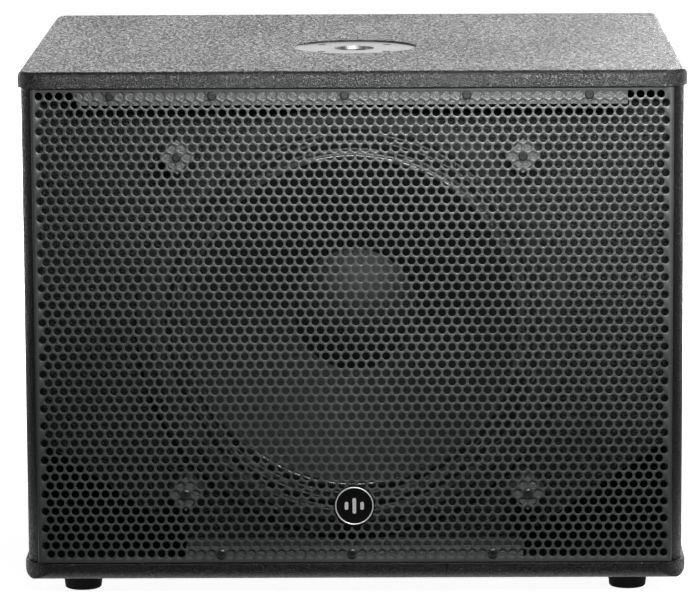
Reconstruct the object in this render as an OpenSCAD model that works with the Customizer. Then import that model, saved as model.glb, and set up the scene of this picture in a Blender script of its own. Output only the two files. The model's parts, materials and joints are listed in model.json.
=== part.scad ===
// Subwoofer cabinet with a 15 inch driver, two corner ports, a perforated grille,
// a pole socket in the top and a plate amplifier at the back.
// Millimetres. +Z up, front faces -Y, origin on the floor under the middle.

/* [Cabinet] */
// Overall width, across the top and bottom panels
cab_w = 594; // [584:1:640]
// Height of the wooden cabinet, without its feet
cab_h = 458; // [454:1:500]
// Overall depth
cab_d = 500; // [490:1:600]
// Thickness of the cabinet boards
board_t = 15; // [15:1:18]
// How far the top and bottom panels stand out past the sides
overhang = 3; // [1:0.5:4]
// Rounding along the top panel's upper edge
edge_r = 6.5; // [3:0.5:7]
// Rounding along the bottom panel's lower edge
low_r = 8.5; // [3:0.5:9]
// Plan radius of the top and bottom panels' corners
corner_r = 27; // [25:1:30]
// Rounding of the side panels' upright edges
post_r = 24; // [18:0.5:25]
// Depth of the baffle's front face behind the front edge
baffle_set = 40; // [38:1:50]
// Thickness of the baffle
baffle_t = 18; // [15:1:18]

/* [Feet] */
// Height of the rubber feet
foot_h = 14; // [12:1:20]
// Radius of a foot at the top
foot_r = 18; // [15:0.5:20]
// Distance from a side edge to a foot's centre
foot_in = 51; // [45:1:60]

/* [Grille] */
// Thickness of the grille sheet
sheet_t = 1.2; // [1:0.1:1.5]
// How far the sheet sits behind the front edge
grille_set = 3; // [3:0.5:5]
// Pitch of the stand-in perforation
hole_pitch = 36; // [36:1:48]
// Radius of a perforation
hole_r = 12.8; // [10:0.1:13]
// Depth of the folded side returns
return_d = 16; // [10:1:17]

/* [Ports] */
// Width of a port's mouth along the bottom
port_w = 151; // [120:1:155]
// Height of a port's mouth along the side
port_h = 102; // [80:1:110]
// How far back the port boards reach behind the baffle
port_len = 270; // [150:5:280]
// Thickness of the port boards
port_t = 12; // [9:1:12]

/* [Pole socket] */
// Inside radius of the socket
socket_r = 18; // [17.5:0.1:19]
// Depth of the socket below its plate
socket_depth = 107.5; // [80:0.5:110]
// Radius of the bright plate
plate_r = 57; // [50:0.5:60]

/* [Hidden] */
$fn = 64;
hw = cab_w / 2;
bw = hw - overhang;
iw = bw - board_t;
z0 = foot_h;
z1 = z0 + board_t;
z3 = z0 + cab_h;
z2 = z3 - board_t;
yf = -cab_d / 2;
yb = cab_d / 2;
zc = (z1 + z2) / 2;
gy = yf + grille_set;
gb = gy + sheet_t;
by = yf + baffle_set;
bb = by + baffle_t;
gx = iw + 5;
rp0 = yb - 37;
rp1 = yb - 22;
pp = rp1 + 3;
az = zc + 7;
pole_y = -48;
pr = 18.25;
badge_z = zc - 161.7;
lz = zc + 1;
drv_a = [for (i = [0:7]) 22.5 + 45 * i];
top_sx = [-213.75, -123.75, -6.75, 101.25, 209.25];
bot_sx = [-119.25, -2.25, 123.75];
blk = [[-155.25, 151.98], [150.75, 151.98], [-150.75, -151.98], [155.25, -151.98]];
row_z = 206.54;
amp_s = [[143, 123], [-143, 123], [143, 0], [-143, 0], [143, -123], [-143, -123],
         [70, 123], [-70, 123], [70, -123], [-70, -123]];
hy = 0;
hz = zc + 57;
hs = [[82, 48], [-82, 48], [82, -48], [-82, -48]];
in_s = [[100, 5], [62, 5]];
ln_s = [[100, -45], [62, -45]];
pot_s = [[18, 5], [-22, 5]];
btn = [18, -40];
led_s = [[-12, -40], [-22, -40], [-32, -40]];
inlet = [-92, -45];
sw = [-92, 8];
stand_s = [[98, 93], [-98, 93], [98, -93], [-98, -93]];
cap_s = [[45, 50], [80, 50], [45, 12], [80, 12]];

// Rounded rectangle from true arcs
module rrect(w, h, r) {
  square([w - 2 * r, h], center = true);
  square([w, h - 2 * r], center = true);
  for (x = [-1, 1], y = [-1, 1]) translate([x * (w / 2 - r), y * (h / 2 - r)]) circle(r = r);
}
// Board edge profile, base at 0, with its own top and bottom radii
module edge_profile(w, t, rt, rb) {
  translate([-w / 2, rb]) square([w, t - rt - rb]);
  translate([-w / 2 + rt, t - rt]) square([w - 2 * rt, rt]);
  translate([-w / 2 + rb, 0]) square([w - 2 * rb, rb]);
  for (s = [-1, 1]) {
    translate([s * (w / 2 - rt), t - rt]) circle(r = rt);
    translate([s * (w / 2 - rb), rb]) circle(r = rb);
  }
}
// Board with rounded edges, lying flat, underside at 0
module edge_board(rt, rb) {
  intersection() {
    linear_extrude(height = board_t) rrect(cab_w, cab_d, corner_r);
    rotate([90, 0, 0]) linear_extrude(height = cab_d + 2, center = true)
      edge_profile(cab_w, board_t, rt, rb);
    rotate([90, 0, 90]) linear_extrude(height = cab_w + 2, center = true)
      edge_profile(cab_d, board_t, rt, rb);
  }
}
// Profile in Y and Z, extruded along +X
module along_x(h) rotate([90, 0, 90]) linear_extrude(height = h) children();
// Cylinder along +Y from a point
module ycyl(x, y, z, r, h) translate([x, y, z]) rotate([-90, 0, 0]) cylinder(r = r, h = h);
// Box between two corners
module blk3(a, b) translate(a) cube(b - a);
// Driver frame of reference: local +Z runs back along +Y from the baffle's face
module drv() translate([0, by, zc]) rotate([-90, 0, 0]) children();
// Annular ring
module ring(r0, r1, za, zb) rotate_extrude($fn = 128)
  translate([r0, za]) square([r1 - r0, zb - za]);

module top_panel() color([0.09, 0.09, 0.09]) difference() {
  translate([0, 0, z2]) edge_board(edge_r, 1);
  translate([0, pole_y, z3 - 4.5]) cylinder(r = plate_r + 0.4, h = 6, $fn = 128);
  translate([0, pole_y, z3 - 7.7]) cylinder(r = 30.4, h = 4);
  translate([0, pole_y, z2 - 1]) cylinder(r = socket_r + 3, h = board_t + 2);
  for (x = [-30, 30], y = [-30, 30]) translate([x, pole_y + y, z2 - 1]) cylinder(r = 2.1, h = 12);
}
module bottom_panel() color([0.07, 0.07, 0.07]) difference() {
  translate([0, 0, z0]) edge_board(1, low_r);
  for (x = [-1, 1], y = [-1, 1])
    translate([x * (hw - foot_in), y * (yb - 38), z0 - 1]) cylinder(r = 2.1, h = board_t - 2);
}
// Side board with rounded upright edges and a rebate for the grille
module side_board() difference() {
  translate([0, 0, z1]) linear_extrude(height = z2 - z1) difference() {
    intersection() {
      rrect(2 * bw, cab_d - 3, post_r);
      translate([iw, yf]) square([board_t + 1, cab_d]);
    }
    translate([iw - 10, yf]) square([15.3, return_d + grille_set + 1]);
  }
  translate([iw - 1, hy, hz]) along_x(board_t + 2) rrect(151, 85, 12.5);
  for (s = hs) translate([bw - 13, hy + s[0], hz + s[1]]) rotate([0, 90, 0]) cylinder(r = 1.6, h = 14);
}
module right_panel() color([0.07, 0.07, 0.07]) side_board();
module left_panel() color([0.07, 0.07, 0.07]) mirror([1, 0, 0]) side_board();
module rear_panel() color([0.07, 0.07, 0.07]) difference() {
  blk3([-iw, rp0, z1], [iw, rp1, z2]);
  blk3([-136, rp0 - 1, az - 116], [136, rp1 + 1, az + 116]);
  for (s = amp_s) ycyl(s[0], rp1 - 13, az + s[1], 1.6, 14);
}
module front_baffle() color([0.05, 0.05, 0.05]) difference() {
  blk3([-iw, by, z1], [iw, bb, z2]);
  drv() translate([0, 0, -1]) cylinder(r = 178, h = baffle_t + 2, $fn = 128);
  for (s = [-1, 1]) translate([0, bb + 1, 0]) rotate([90, 0, 0]) linear_extrude(height = baffle_t + 2)
    polygon([[s * (iw + 1), z1 - 1], [s * (iw + 1), z1 + port_h], [s * iw, z1 + port_h], [s * (iw - port_w), z1], [s * (iw - port_w), z1 - 1]]);
  drv() for (a = drv_a) rotate(a) translate([188, 0, -1]) cylinder(r = 4, h = baffle_t + 2);
}
// Slanted board that closes off a triangular duct in a bottom corner
module port_board() {
  l = sqrt(port_w * port_w + port_h * port_h);
  dz = port_t * l / port_w;
  dx = port_t * l / port_h;
  translate([0, bb + port_len, 0]) rotate([90, 0, 0]) linear_extrude(height = port_len)
    polygon([[iw, z1 + port_h], [iw, z1 + port_h + dz], [iw - port_w - dx, z1], [iw - port_w, z1]]);
}
module right_port_board() color([0.45, 0.36, 0.25]) port_board();
module left_port_board() color([0.45, 0.36, 0.25]) mirror([1, 0, 0]) port_board();
module top_batten() color([0.12, 0.12, 0.12]) difference() {
  blk3([-243, gb, z2 - 15], [243, by, z2]);
  for (x = top_sx) ycyl(x, gb - 1, lz + row_z, 1.8, 18);
}
module bottom_batten() color([0.12, 0.12, 0.12]) difference() {
  blk3([-151, gb, z1], [151, by, z1 + 15]);
  for (x = bot_sx) ycyl(x, gb - 1, lz - row_z, 1.8, 18);
}
module grille_standoffs() color([0.12, 0.12, 0.12]) for (p = blk) difference() {
  translate([p[0], (gb + by) / 2, lz + p[1]]) rotate([0, 45, 0]) cube([22, by - gb, 22], center = true);
  ycyl(p[0], gb - 1, lz + p[1], 1.8, 18);
}
module cross_brace() color([0.5, 0.4, 0.28]) blk3([-iw, 30, zc + 142], [iw, 48, zc + 182]);
// Loose polyester wadding: one blanket on the floor, one behind each handle
module wadding() color([0.8, 0.8, 0.78]) {
  translate([0, 20, z1]) linear_extrude(height = 20) rrect(190, 340, 12);
  for (s = [-1, 1]) translate([s > 0 ? iw - 20 : -iw, 148, zc + 52]) along_x(20) rrect(110, 270, 12);
}

module pole_plate() color([0.8, 0.8, 0.82]) difference() {
  translate([0, pole_y, z3 - 4.5]) cylinder(r = plate_r, h = 3, $fn = 128);
  translate([0, pole_y, z3 - 5]) cylinder(r = socket_r + 0.5, h = 4, $fn = 96);
  for (x = [-30, 30], y = [-30, 30]) translate([x, pole_y + y, z3 - 4.5]) {
    translate([0, 0, -1]) cylinder(r = 2.2, h = 5);
    translate([0, 0, 0.8]) cylinder(r1 = 2.2, r2 = 4.4, h = 2.2);
    translate([0, 0, 2.95]) cylinder(r = 4.4, h = 1);
  }
}
module pole_cup() color([0.25, 0.25, 0.27]) translate([0, pole_y, z3 - 4.5]) difference() {
  union() {
    translate([0, 0, -socket_depth - 3]) cylinder(r = socket_r + 2.5, h = socket_depth + 3, $fn = 96);
    translate([0, 0, -3]) cylinder(r = 30, h = 3);
  }
  translate([0, 0, -socket_depth]) cylinder(r = socket_r, h = socket_depth + 1, $fn = 96);
}
module pole_screws() color([0.7, 0.7, 0.72]) for (x = [-30, 30], y = [-30, 30])
  translate([x, pole_y + y, z3 - 4.5]) difference() {
    union() {
      translate([0, 0, -10]) cylinder(r = 2, h = 11);
      translate([0, 0, 0.9]) cylinder(r1 = 2.05, r2 = 4.1, h = 2.05);
    }
    for (a = [0, 90]) rotate(a) translate([-2.2, -0.35, 1.9]) cube([4.4, 0.7, 2]);
  }

module rubber_feet() color([0.04, 0.04, 0.04]) for (x = [-1, 1], y = [-1, 1])
  translate([x * (hw - foot_in), y * (yb - 38), 0]) difference() {
    union() {
      cylinder(r1 = foot_r - 2.6, r2 = foot_r - 1.6, h = 1);
      translate([0, 0, 1]) cylinder(r1 = foot_r - 1.6, r2 = foot_r, h = foot_h - 1);
    }
    translate([0, 0, -1]) cylinder(r = 7, h = 6);
    translate([0, 0, 4]) cylinder(r = 2.3, h = foot_h);
  }
module foot_screws() color([0.6, 0.6, 0.6]) for (x = [-1, 1], y = [-1, 1])
  translate([x * (hw - foot_in), y * (yb - 38), 0]) difference() {
    union() {
      translate([0, 0, 3]) cylinder(r = 6, h = 2);
      translate([0, 0, 4]) cylinder(r = 2, h = foot_h + 6);
    }
    for (a = [0, 90]) rotate(a) translate([-3, -0.5, 2]) cube([6, 1, 2]);
  }

// Sheet with folded side returns. Its perforation is a coarser stand-in on every
// fourth pitch, with the same open share of the sheet.
function near_list(x, z) = min(concat(
  [for (s = top_sx) norm([x - s, z - row_z])], [for (s = bot_sx) norm([x - s, z + row_z])],
  [for (p = blk) norm([x - p[0], z - p[1]])]));
module grille() color([0.16, 0.16, 0.16]) difference() {
  union() {
    blk3([-gx, gy, z1 + 0.5], [gx, gb, z2 - 0.5]);
    for (s = [-1, 1]) translate([s > 0 ? gx - sheet_t : -gx, gy, z1 + 0.5]) cube([sheet_t, return_d, z2 - z1 - 1]);
  }
  for (j = [-6:6], i = [-7:7]) let (
      x = (i + (j % 2 == 0 ? 0 : 0.5)) * hole_pitch, z = j * hole_pitch * 0.8660254)
    if (abs(x) < gx - hole_r - 8 && abs(z) < (z2 - z1) / 2 - hole_r - 6
        && near_list(x, z) > hole_r + 6 && norm([x, z + 162.7]) > hole_r + 21)
      ycyl(x, gy - 1, lz + z, hole_r, 4);
  for (x = top_sx) ycyl(x, gy - 1, lz + row_z, 2.4, 4);
  for (x = bot_sx) ycyl(x, gy - 1, lz - row_z, 2.4, 4);
  for (p = blk) ycyl(p[0], gy - 1, lz + p[1], 2.4, 4);
}
// Pan head screw, head towards -Y
module pan_screw(x, z) translate([x, gy, z]) rotate([-90, 0, 0]) difference() {
  union() {
    translate([0, 0, -1.3]) cylinder(r = 4.1, h = 1.3);
    translate([0, 0, -2.2]) cylinder(r1 = 2.9, r2 = 4.1, h = 0.9);
    translate([0, 0, -0.2]) cylinder(r = 1.7, h = 17);
  }
  for (a = [0, 90]) rotate(a + 20) translate([-2, -0.4, -3]) cube([4, 0.8, 1.8]);
}
module grille_screws() color([0.1, 0.1, 0.1]) {
  for (x = top_sx) pan_screw(x, lz + row_z);
  for (x = bot_sx) pan_screw(x, lz - row_z);
  for (p = blk) pan_screw(p[0], lz + p[1]);
}
module badge_base() color([0.03, 0.03, 0.03]) translate([0, gy, badge_z]) rotate([90, 0, 0]) difference() {
  union() {
    cylinder(r = pr, h = 1.4);
    translate([0, 0, 1.4]) cylinder(r1 = pr, r2 = pr - 0.5, h = 0.5);
  }
  translate([0, 0, 1.2]) difference() { cylinder(r = 17.3, h = 2); translate([0, 0, -1]) cylinder(r = 16.1, h = 4); }
}
module badge_ring() color([0.85, 0.85, 0.87]) translate([0, gy, badge_z]) rotate([90, 0, 0])
  rotate_extrude($fn = 96) translate([16.15, 1.2]) square([1.1, 1.5]);
// Plain emblem: three upright bars of different heights
module badge_emblem() color([0.85, 0.85, 0.87]) translate([0, gy - 1.9, badge_z]) rotate([90, 0, 0])
  for (b = [[-7, 7], [0, 14], [7, 7]]) linear_extrude(height = 0.6) translate([b[0], 0]) rrect(3.2, b[1], 1.2);

// Cast frame: front flange, eight spokes, spider ledge and rear ring
module driver_frame() color([0.13, 0.13, 0.13]) drv() difference() {
  union() {
    difference() {
      rotate_extrude($fn = 128) polygon([[173, -5], [194.5, -5], [194.5, 0], [177.6, 0], [177.6, 6],
        [112, 76], [112, 86], [104, 104], [60, 104], [60, 100], [99, 100], [105, 87],
        [88, 87], [88, 83], [107, 83], [107, 75], [173, 5]]);
      difference() {
        translate([0, 0, 14]) cylinder(r = 200, h = 56);
        translate([0, 0, 13]) cylinder(r = 100, h = 58);
        for (a = drv_a) rotate(a) translate([90, -11, 12]) cube([120, 22, 60]);
      }
    }
    translate([108, -14, 83]) cube([30, 28, 4]);
  }
  for (a = drv_a) rotate(a) translate([188, 0, -6]) cylinder(r = 2.8, h = 8);
}
module driver_gasket() color([0.08, 0.08, 0.08]) drv() ring(179.6, 182.6, -7.6, -5);
// Corrugated cloth surround
function sur_z(r) = r > 172.5 || r < 152.5 ? -5.7 : -5.7 + 3 * sin(360 * (172.5 - r) / 13.3333);
sur_r = concat([179.3], [for (i = [0:24]) 172.5 - i * 20 / 24], [151.3]);
module surround() color([0.05, 0.05, 0.05]) drv() rotate_extrude($fn = 128)
  polygon(concat([for (r = sur_r) [r, sur_z(r) - 0.6]],
                 [for (i = [len(sur_r) - 1:-1:0]) [sur_r[i], sur_z(sur_r[i]) + 0.6]]));
// Paper cone with a slightly curved flank
function cone_z(r) = let (t = (147 - r) / 108.75) -5 + 79 * (0.8 * t + 0.2 * t * t);
cone_r = [for (i = [0:14]) 147 - i * 108.75 / 14];
module cone() color([0.07, 0.07, 0.07]) drv() rotate_extrude($fn = 128)
  polygon(concat([[151, -6.4], [147, -6.4]], [for (r = cone_r) [r, cone_z(r)]],
                 [for (i = [14:-1:0]) [cone_r[i], cone_z(cone_r[i]) + 1.6]], [[147, -5 + 1.6], [151, -5]]));
dc_R = (55 * 55 + 17 * 17) / 34;
module dust_cap() color([0.06, 0.06, 0.06]) drv() rotate_extrude($fn = 128)
  polygon(concat([for (i = [0:12]) let (a = asin(55 / dc_R) * i / 12) [dc_R * sin(a), 41.9 + dc_R - dc_R * cos(a)]],
                 [for (i = [12:-1:0]) let (a = asin(55 / dc_R) * i / 12) [(dc_R - 1.2) * sin(a), 41.9 + dc_R - (dc_R - 1.2) * cos(a)]]));
module coil_former() color([0.75, 0.6, 0.35]) drv() ring(37.6, 38.2, 66, 118);
module voice_coil() color([0.72, 0.4, 0.2]) drv() ring(38.2, 39.6, 97, 117);
// Corrugated spider on the frame's ledge
function sp_z(r) = r < 46 ? 80.3 : r > 86 ? 82.4 : 80.3 + 2.1 * (r - 46) / 40 + 2 * sin(360 * (r - 46) / 10);
sp_r = concat([38.5], [for (i = [0:32]) 46 + i * 40 / 32], [104]);
module spider() color([0.75, 0.6, 0.25]) drv() rotate_extrude($fn = 96)
  polygon(concat([for (r = sp_r) [r, sp_z(r) - 0.6]],
                 [for (i = [len(sp_r) - 1:-1:0]) [sp_r[i], sp_z(sp_r[i]) + 0.6]]));
module front_plate() color([0.6, 0.6, 0.6]) drv() ring(40.4, 90, 104, 112);
module magnet_ring() color([0.2, 0.2, 0.21]) drv() ring(50, 98, 112, 132);
module pole_yoke() color([0.6, 0.6, 0.6]) drv() difference() {
  union() {
    translate([0, 0, 132]) cylinder(r = 88, h = 9, $fn = 128);
    translate([0, 0, 104]) cylinder(r = 36.8, h = 30, $fn = 96);
  }
  translate([0, 0, 100]) cylinder(r = 12, h = 50);
}
module driver_terminals() color([0.1, 0.1, 0.1]) drv() {
  translate([113, -11, 87]) cube([24, 22, 8]);
  for (y = [-6.5, 6.5]) translate([125, y - 3, 95]) cube([0.8, 6, 7]);
}
module driver_bolts() color([0.3, 0.3, 0.3]) drv() for (a = drv_a) rotate(a) translate([188, 0, 0]) difference() {
  union() {
    translate([0, 0, -7.6]) cylinder(r = 4.9, h = 2.6);
    translate([0, 0, -8.9]) cylinder(r1 = 3.3, r2 = 4.9, h = 1.3);
    translate([0, 0, -5.2]) cylinder(r = 2.45, h = 24);
  }
  translate([0, 0, -10]) cylinder(r = 2.3, h = 3.4, $fn = 6);
}
module tee_nuts() color([0.7, 0.7, 0.7]) drv() for (a = drv_a) rotate(a) translate([188, 0, 0]) difference() {
  union() {
    translate([0, 0, baffle_t - 9]) cylinder(r = 3.8, h = 9);
    translate([0, 0, baffle_t]) cylinder(r = 9.4, h = 1.5);
  }
  translate([0, 0, baffle_t - 10]) cylinder(r = 2.55, h = 13);
}

// Recessed bar handle, moulded in one piece
module handle() translate([0, hy, hz]) union() {
  difference() {
    union() {
      translate([bw, 0, 0]) along_x(2) rrect(180, 112, 14);
      translate([bw - 48, 0, 0]) along_x(48) rrect(150, 84, 12);
    }
    translate([bw - 45, 0, 0]) along_x(50) rrect(144, 78, 9);
    for (s = hs) translate([bw - 1, s[0], s[1]]) rotate([0, 90, 0]) cylinder(r = 1.9, h = 5);
  }
  translate([bw - 11, -73, 0]) rotate([-90, 0, 0]) cylinder(r = 9, h = 146);
}
module right_handle() color([0.05, 0.05, 0.05]) handle();
module left_handle() color([0.05, 0.05, 0.05]) mirror([1, 0, 0]) handle();
module handle_screws() color([0.2, 0.2, 0.2]) for (m = [0, 1]) mirror([m, 0, 0]) for (s = hs)
  translate([bw + 2, hy + s[0], hz + s[1]]) rotate([0, 90, 0]) difference() {
    union() {
      cylinder(r1 = 3.6, r2 = 3.1, h = 0.95);
      translate([0, 0, -13]) cylinder(r = 1.5, h = 13.2);
    }
    for (a = [0, 90]) rotate(a) translate([-1.8, -0.3, 0.4]) cube([3.6, 0.6, 2]);
  }

module amp_plate() color([0.08, 0.08, 0.09]) difference() {
  translate([0, pp, az]) rotate([90, 0, 0]) linear_extrude(height = 3) rrect(300, 260, 5);
  for (s = concat(in_s, ln_s)) ycyl(s[0], rp1 - 1, az + s[1], 12, 5);
  for (s = pot_s) ycyl(s[0], rp1 - 1, az + s[1], 4.7, 5);
  ycyl(btn[0], rp1 - 1, az + btn[1], 4, 5);
  for (s = led_s) ycyl(s[0], rp1 - 1, az + s[1], 1.6, 5);
  for (s = amp_s) ycyl(s[0], rp1 - 1, az + s[1], 2.1, 5);
  blk3([inlet[0] - 14.2, rp1 - 1, az + inlet[1] - 10.2], [inlet[0] + 14.2, pp + 1, az + inlet[1] + 10.2]);
  blk3([sw[0] - 8.2, rp1 - 1, az + sw[1] - 11.2], [sw[0] + 8.2, pp + 1, az + sw[1] + 11.2]);
}
module heatsink() color([0.06, 0.06, 0.06]) translate([0, 0, az + 35]) linear_extrude(height = 80) {
  translate([-111, pp]) square([222, 3]);
  for (i = [-11:11]) translate([i * 10 - 1, pp + 2.5]) square([2, 13.5]);
}
module amp_cover() color([0.5, 0.5, 0.52]) difference() {
  blk3([-132, rp1 - 120, az - 112], [132, rp1, az + 112]);
  blk3([-130.5, rp1 - 118.5, az - 110.5], [130.5, rp1 + 1, az + 110.5]);
  ycyl(40, rp1 - 121, az - 20, 3.5, 4);
}
module amp_board() color([0.1, 0.35, 0.16]) difference() {
  blk3([-105, rp1 - 43, az - 100], [105, rp1 - 41.4, az + 100]);
  for (s = stand_s) ycyl(s[0], rp1 - 44, az + s[1], 1.6, 4);
}
module board_standoffs() color([0.75, 0.68, 0.4]) for (s = stand_s) {
  ycyl(s[0], rp1 - 41.4, az + s[1], 3, 41.4);
  ycyl(s[0], rp1 - 46, az + s[1], 1.5, 5);
}
module capacitors() color([0.12, 0.12, 0.3]) for (s = cap_s) ycyl(s[0], rp1 - 78, az + s[1], 15, 35);
module transformer() color([0.7, 0.5, 0.2]) translate([-70, rp1 - 97.9, az + 55]) rotate([-90, 0, 0])
  rotate_extrude($fn = 96) translate([34, 0]) rrect(28, 40, 8);
module mains_inlet() color([0.03, 0.03, 0.03]) translate([inlet[0], 0, az + inlet[1]]) {
  difference() {
    union() {
      translate([0, pp + 2.5, 0]) rotate([90, 0, 0]) linear_extrude(height = 2.5) rrect(36, 29, 3);
      blk3([-14, pp - 28, -10], [14, pp + 1, 10]);
    }
    translate([0, pp + 4, 0]) rotate([90, 0, 0]) linear_extrude(height = 15.5)
      polygon([[-12.1, -8.15], [12.1, -8.15], [12.1, 4.2], [8.4, 8.15], [-8.4, 8.15], [-12.1, 4.2]]);
  }
  for (p = [[-7, -2], [7, -2], [0, 2]])
    blk3([p[0] - 1, pp - 12, p[1] - 2], [p[0] + 1, pp - 3.5, p[1] + 2]);
}
module switch_housing() color([0.03, 0.03, 0.03]) translate([sw[0], 0, az + sw[1]]) difference() {
  union() {
    translate([0, pp + 2, 0]) rotate([90, 0, 0]) linear_extrude(height = 2) rrect(19, 25, 2);
    blk3([-8, pp - 24, -11], [8, pp + 1, 11]);
  }
  blk3([-6.4, pp - 14, -9.9], [6.4, pp + 3, 9.9]);
}
// Rocker, resting with its upper end pressed in
module power_rocker() color([0.55, 0.05, 0.05]) translate([sw[0] - 6, pp - 1.5, az + sw[1]])
  rotate([10, 0, 0]) rotate([0, 90, 0]) rotate(90) linear_extrude(height = 12) {
    polygon([[-9.2, 0], [9.2, 0], [8.4, 4.4], [0, 2.9], [-8.4, 4.4]]);
    difference() {
      circle(r = 9.2);
      translate([-10, 0]) square([20, 20]);
    }
  }
module input_sockets() color([0.12, 0.12, 0.12]) for (s = in_s) translate([s[0], 0, az + s[1]]) difference() {
  union() {
    translate([0, pp + 2, 0]) rotate([90, 0, 0]) linear_extrude(height = 2) rrect(26, 31, 3);
    ycyl(0, pp - 26, 0, 11.5, 27);
  }
  difference() { ycyl(0, pp - 13, 0, 9.7, 20); ycyl(0, pp - 14, 0, 8.2, 15); }
  for (a = [90, 210, 330]) ycyl(5.5 * cos(a), pp - 13, 5.5 * sin(a), 1.35, 20);
}
module link_sockets() color([0.12, 0.12, 0.12]) for (s = ln_s) translate([s[0], 0, az + s[1]]) {
  difference() {
    union() {
      translate([0, pp + 2, 0]) rotate([90, 0, 0]) linear_extrude(height = 2) rrect(26, 31, 3);
      ycyl(0, pp - 26, 0, 11.5, 27);
    }
    ycyl(0, pp - 13, 0, 9.7, 20);
  }
  for (a = [90, 210, 330]) ycyl(5.6 * cos(a), pp - 14, 5.6 * sin(a), 1.15, 13);
}
// Fluted knob with its spindle
module knob(s) translate([s[0], pp, az + s[1]]) rotate([-90, 0, 0]) {
  difference() {
    union() {
      translate([0, 0, 2.5]) cylinder(r = 8.6, h = 2);
      translate([0, 0, 4]) cylinder(r = 7.6, h = 10.5);
    }
    for (a = [15:30:345]) rotate(a) translate([8.1, 0, 5.2]) cylinder(r = 1.1, h = 12);
    translate([-0.5, -9, 13.8]) cube([1, 7, 2]);
  }
  translate([0, 0, -13]) cylinder(r = 3, h = 16);
}
module level_knob() color([0.1, 0.1, 0.1]) knob(pot_s[0]);
module crossover_knob() color([0.1, 0.1, 0.1]) knob(pot_s[1]);
module potentiometers() color([0.6, 0.6, 0.6]) for (s = pot_s) difference() {
  union() {
    ycyl(s[0], rp1 - 12, az + s[1], 8.5, 12);
    ycyl(s[0], rp1 - 1, az + s[1], 4.5, 5.5);
  }
  ycyl(s[0], rp1 - 11, az + s[1], 3.1, 20);
}
module phase_button() color([0.6, 0.6, 0.6]) {
  ycyl(btn[0], rp1 - 1, az + btn[1], 3.6, 8);
  ycyl(btn[0], rp1 - 14, az + btn[1], 1.5, 14);
}
module button_switch() color([0.1, 0.1, 0.1]) difference() {
  blk3([btn[0] - 6, rp1 - 41.4, az + btn[1] - 5], [btn[0] + 6, rp1 - 4, az + btn[1] + 5]);
  ycyl(btn[0], rp1 - 17, az + btn[1], 1.85, 20);
}
module indicator_leds() color([0.1, 0.6, 0.2]) for (s = led_s) {
  ycyl(s[0], rp1 - 2, az + s[1], 1.5, 6);
  translate([s[0], rp1 + 4, az + s[1]]) rotate([-90, 0, 0]) cylinder(r1 = 1.5, r2 = 0.8, h = 0.9);
}
module amp_screws() color([0.15, 0.15, 0.15]) for (s = amp_s)
  translate([s[0], pp, az + s[1]]) rotate([-90, 0, 0]) difference() {
    union() {
      cylinder(r = 3.6, h = 1.2);
      translate([0, 0, 1.2]) cylinder(r1 = 3.6, r2 = 2.5, h = 0.9);
      translate([0, 0, -15]) cylinder(r = 1.5, h = 15.2);
    }
    for (a = [0, 90]) rotate(a) translate([-2, -0.4, 1]) cube([4, 0.8, 2]);
  }
// Two-core cable from the driver's terminals to the amplifier
cab_p = [[120, by + 96, zc], [120, by + 135, zc], [100, 0, zc - 7], [40, 60, az - 20], [40, rp1 - 78, az - 20]];
module speaker_cable() color([0.05, 0.05, 0.05]) for (i = [0:3]) let (
    a = cab_p[i], d = cab_p[i + 1] - a, l = norm(d)) {
  translate(a) rotate([0, acos(d[2] / l), atan2(d[1], d[0])]) cylinder(r = 3, h = l, $fn = 32);
  if (i > 0) translate(a) sphere(r = 3.15, $fn = 32);
}

top_panel();
bottom_panel();
left_panel();
right_panel();
rear_panel();
front_baffle();
left_port_board();
right_port_board();
top_batten();
bottom_batten();
grille_standoffs();
cross_brace();
wadding();
pole_plate();
pole_cup();
pole_screws();
rubber_feet();
foot_screws();
grille();
grille_screws();
badge_base();
badge_ring();
badge_emblem();
driver_frame();
driver_gasket();
surround();
cone();
dust_cap();
coil_former();
voice_coil();
spider();
front_plate();
magnet_ring();
pole_yoke();
driver_terminals();
driver_bolts();
tee_nuts();
left_handle();
right_handle();
handle_screws();
amp_plate();
heatsink();
amp_cover();
amp_board();
capacitors();
transformer();
board_standoffs();
mains_inlet();
switch_housing();
power_rocker();
input_sockets();
link_sockets();
level_knob();
crossover_knob();
potentiometers();
phase_button();
button_switch();
indicator_leds();
amp_screws();
speaker_cable();
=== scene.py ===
import json
import math

import bmesh
import bpy
import numpy as np
from mathutils import Matrix, Vector


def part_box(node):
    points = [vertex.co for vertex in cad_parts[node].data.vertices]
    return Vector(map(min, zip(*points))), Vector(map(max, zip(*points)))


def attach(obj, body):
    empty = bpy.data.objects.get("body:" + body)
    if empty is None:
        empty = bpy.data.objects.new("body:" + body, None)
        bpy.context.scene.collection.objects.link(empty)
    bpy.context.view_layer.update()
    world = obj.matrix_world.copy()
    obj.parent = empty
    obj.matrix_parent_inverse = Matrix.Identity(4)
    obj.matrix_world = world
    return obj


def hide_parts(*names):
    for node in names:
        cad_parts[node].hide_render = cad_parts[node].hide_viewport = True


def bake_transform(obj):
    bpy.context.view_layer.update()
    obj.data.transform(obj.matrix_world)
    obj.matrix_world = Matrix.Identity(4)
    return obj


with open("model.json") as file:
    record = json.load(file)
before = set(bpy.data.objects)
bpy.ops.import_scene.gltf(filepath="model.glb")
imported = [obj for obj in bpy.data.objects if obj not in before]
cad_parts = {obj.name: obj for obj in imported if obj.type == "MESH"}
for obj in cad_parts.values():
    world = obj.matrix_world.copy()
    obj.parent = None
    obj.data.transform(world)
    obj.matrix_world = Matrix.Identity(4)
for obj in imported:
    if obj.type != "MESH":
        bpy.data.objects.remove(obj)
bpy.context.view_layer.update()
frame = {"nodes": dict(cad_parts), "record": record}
nodes = frame["nodes"]
record = frame["record"]
scene = bpy.context.scene
RNG = np.random.default_rng(7)
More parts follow.
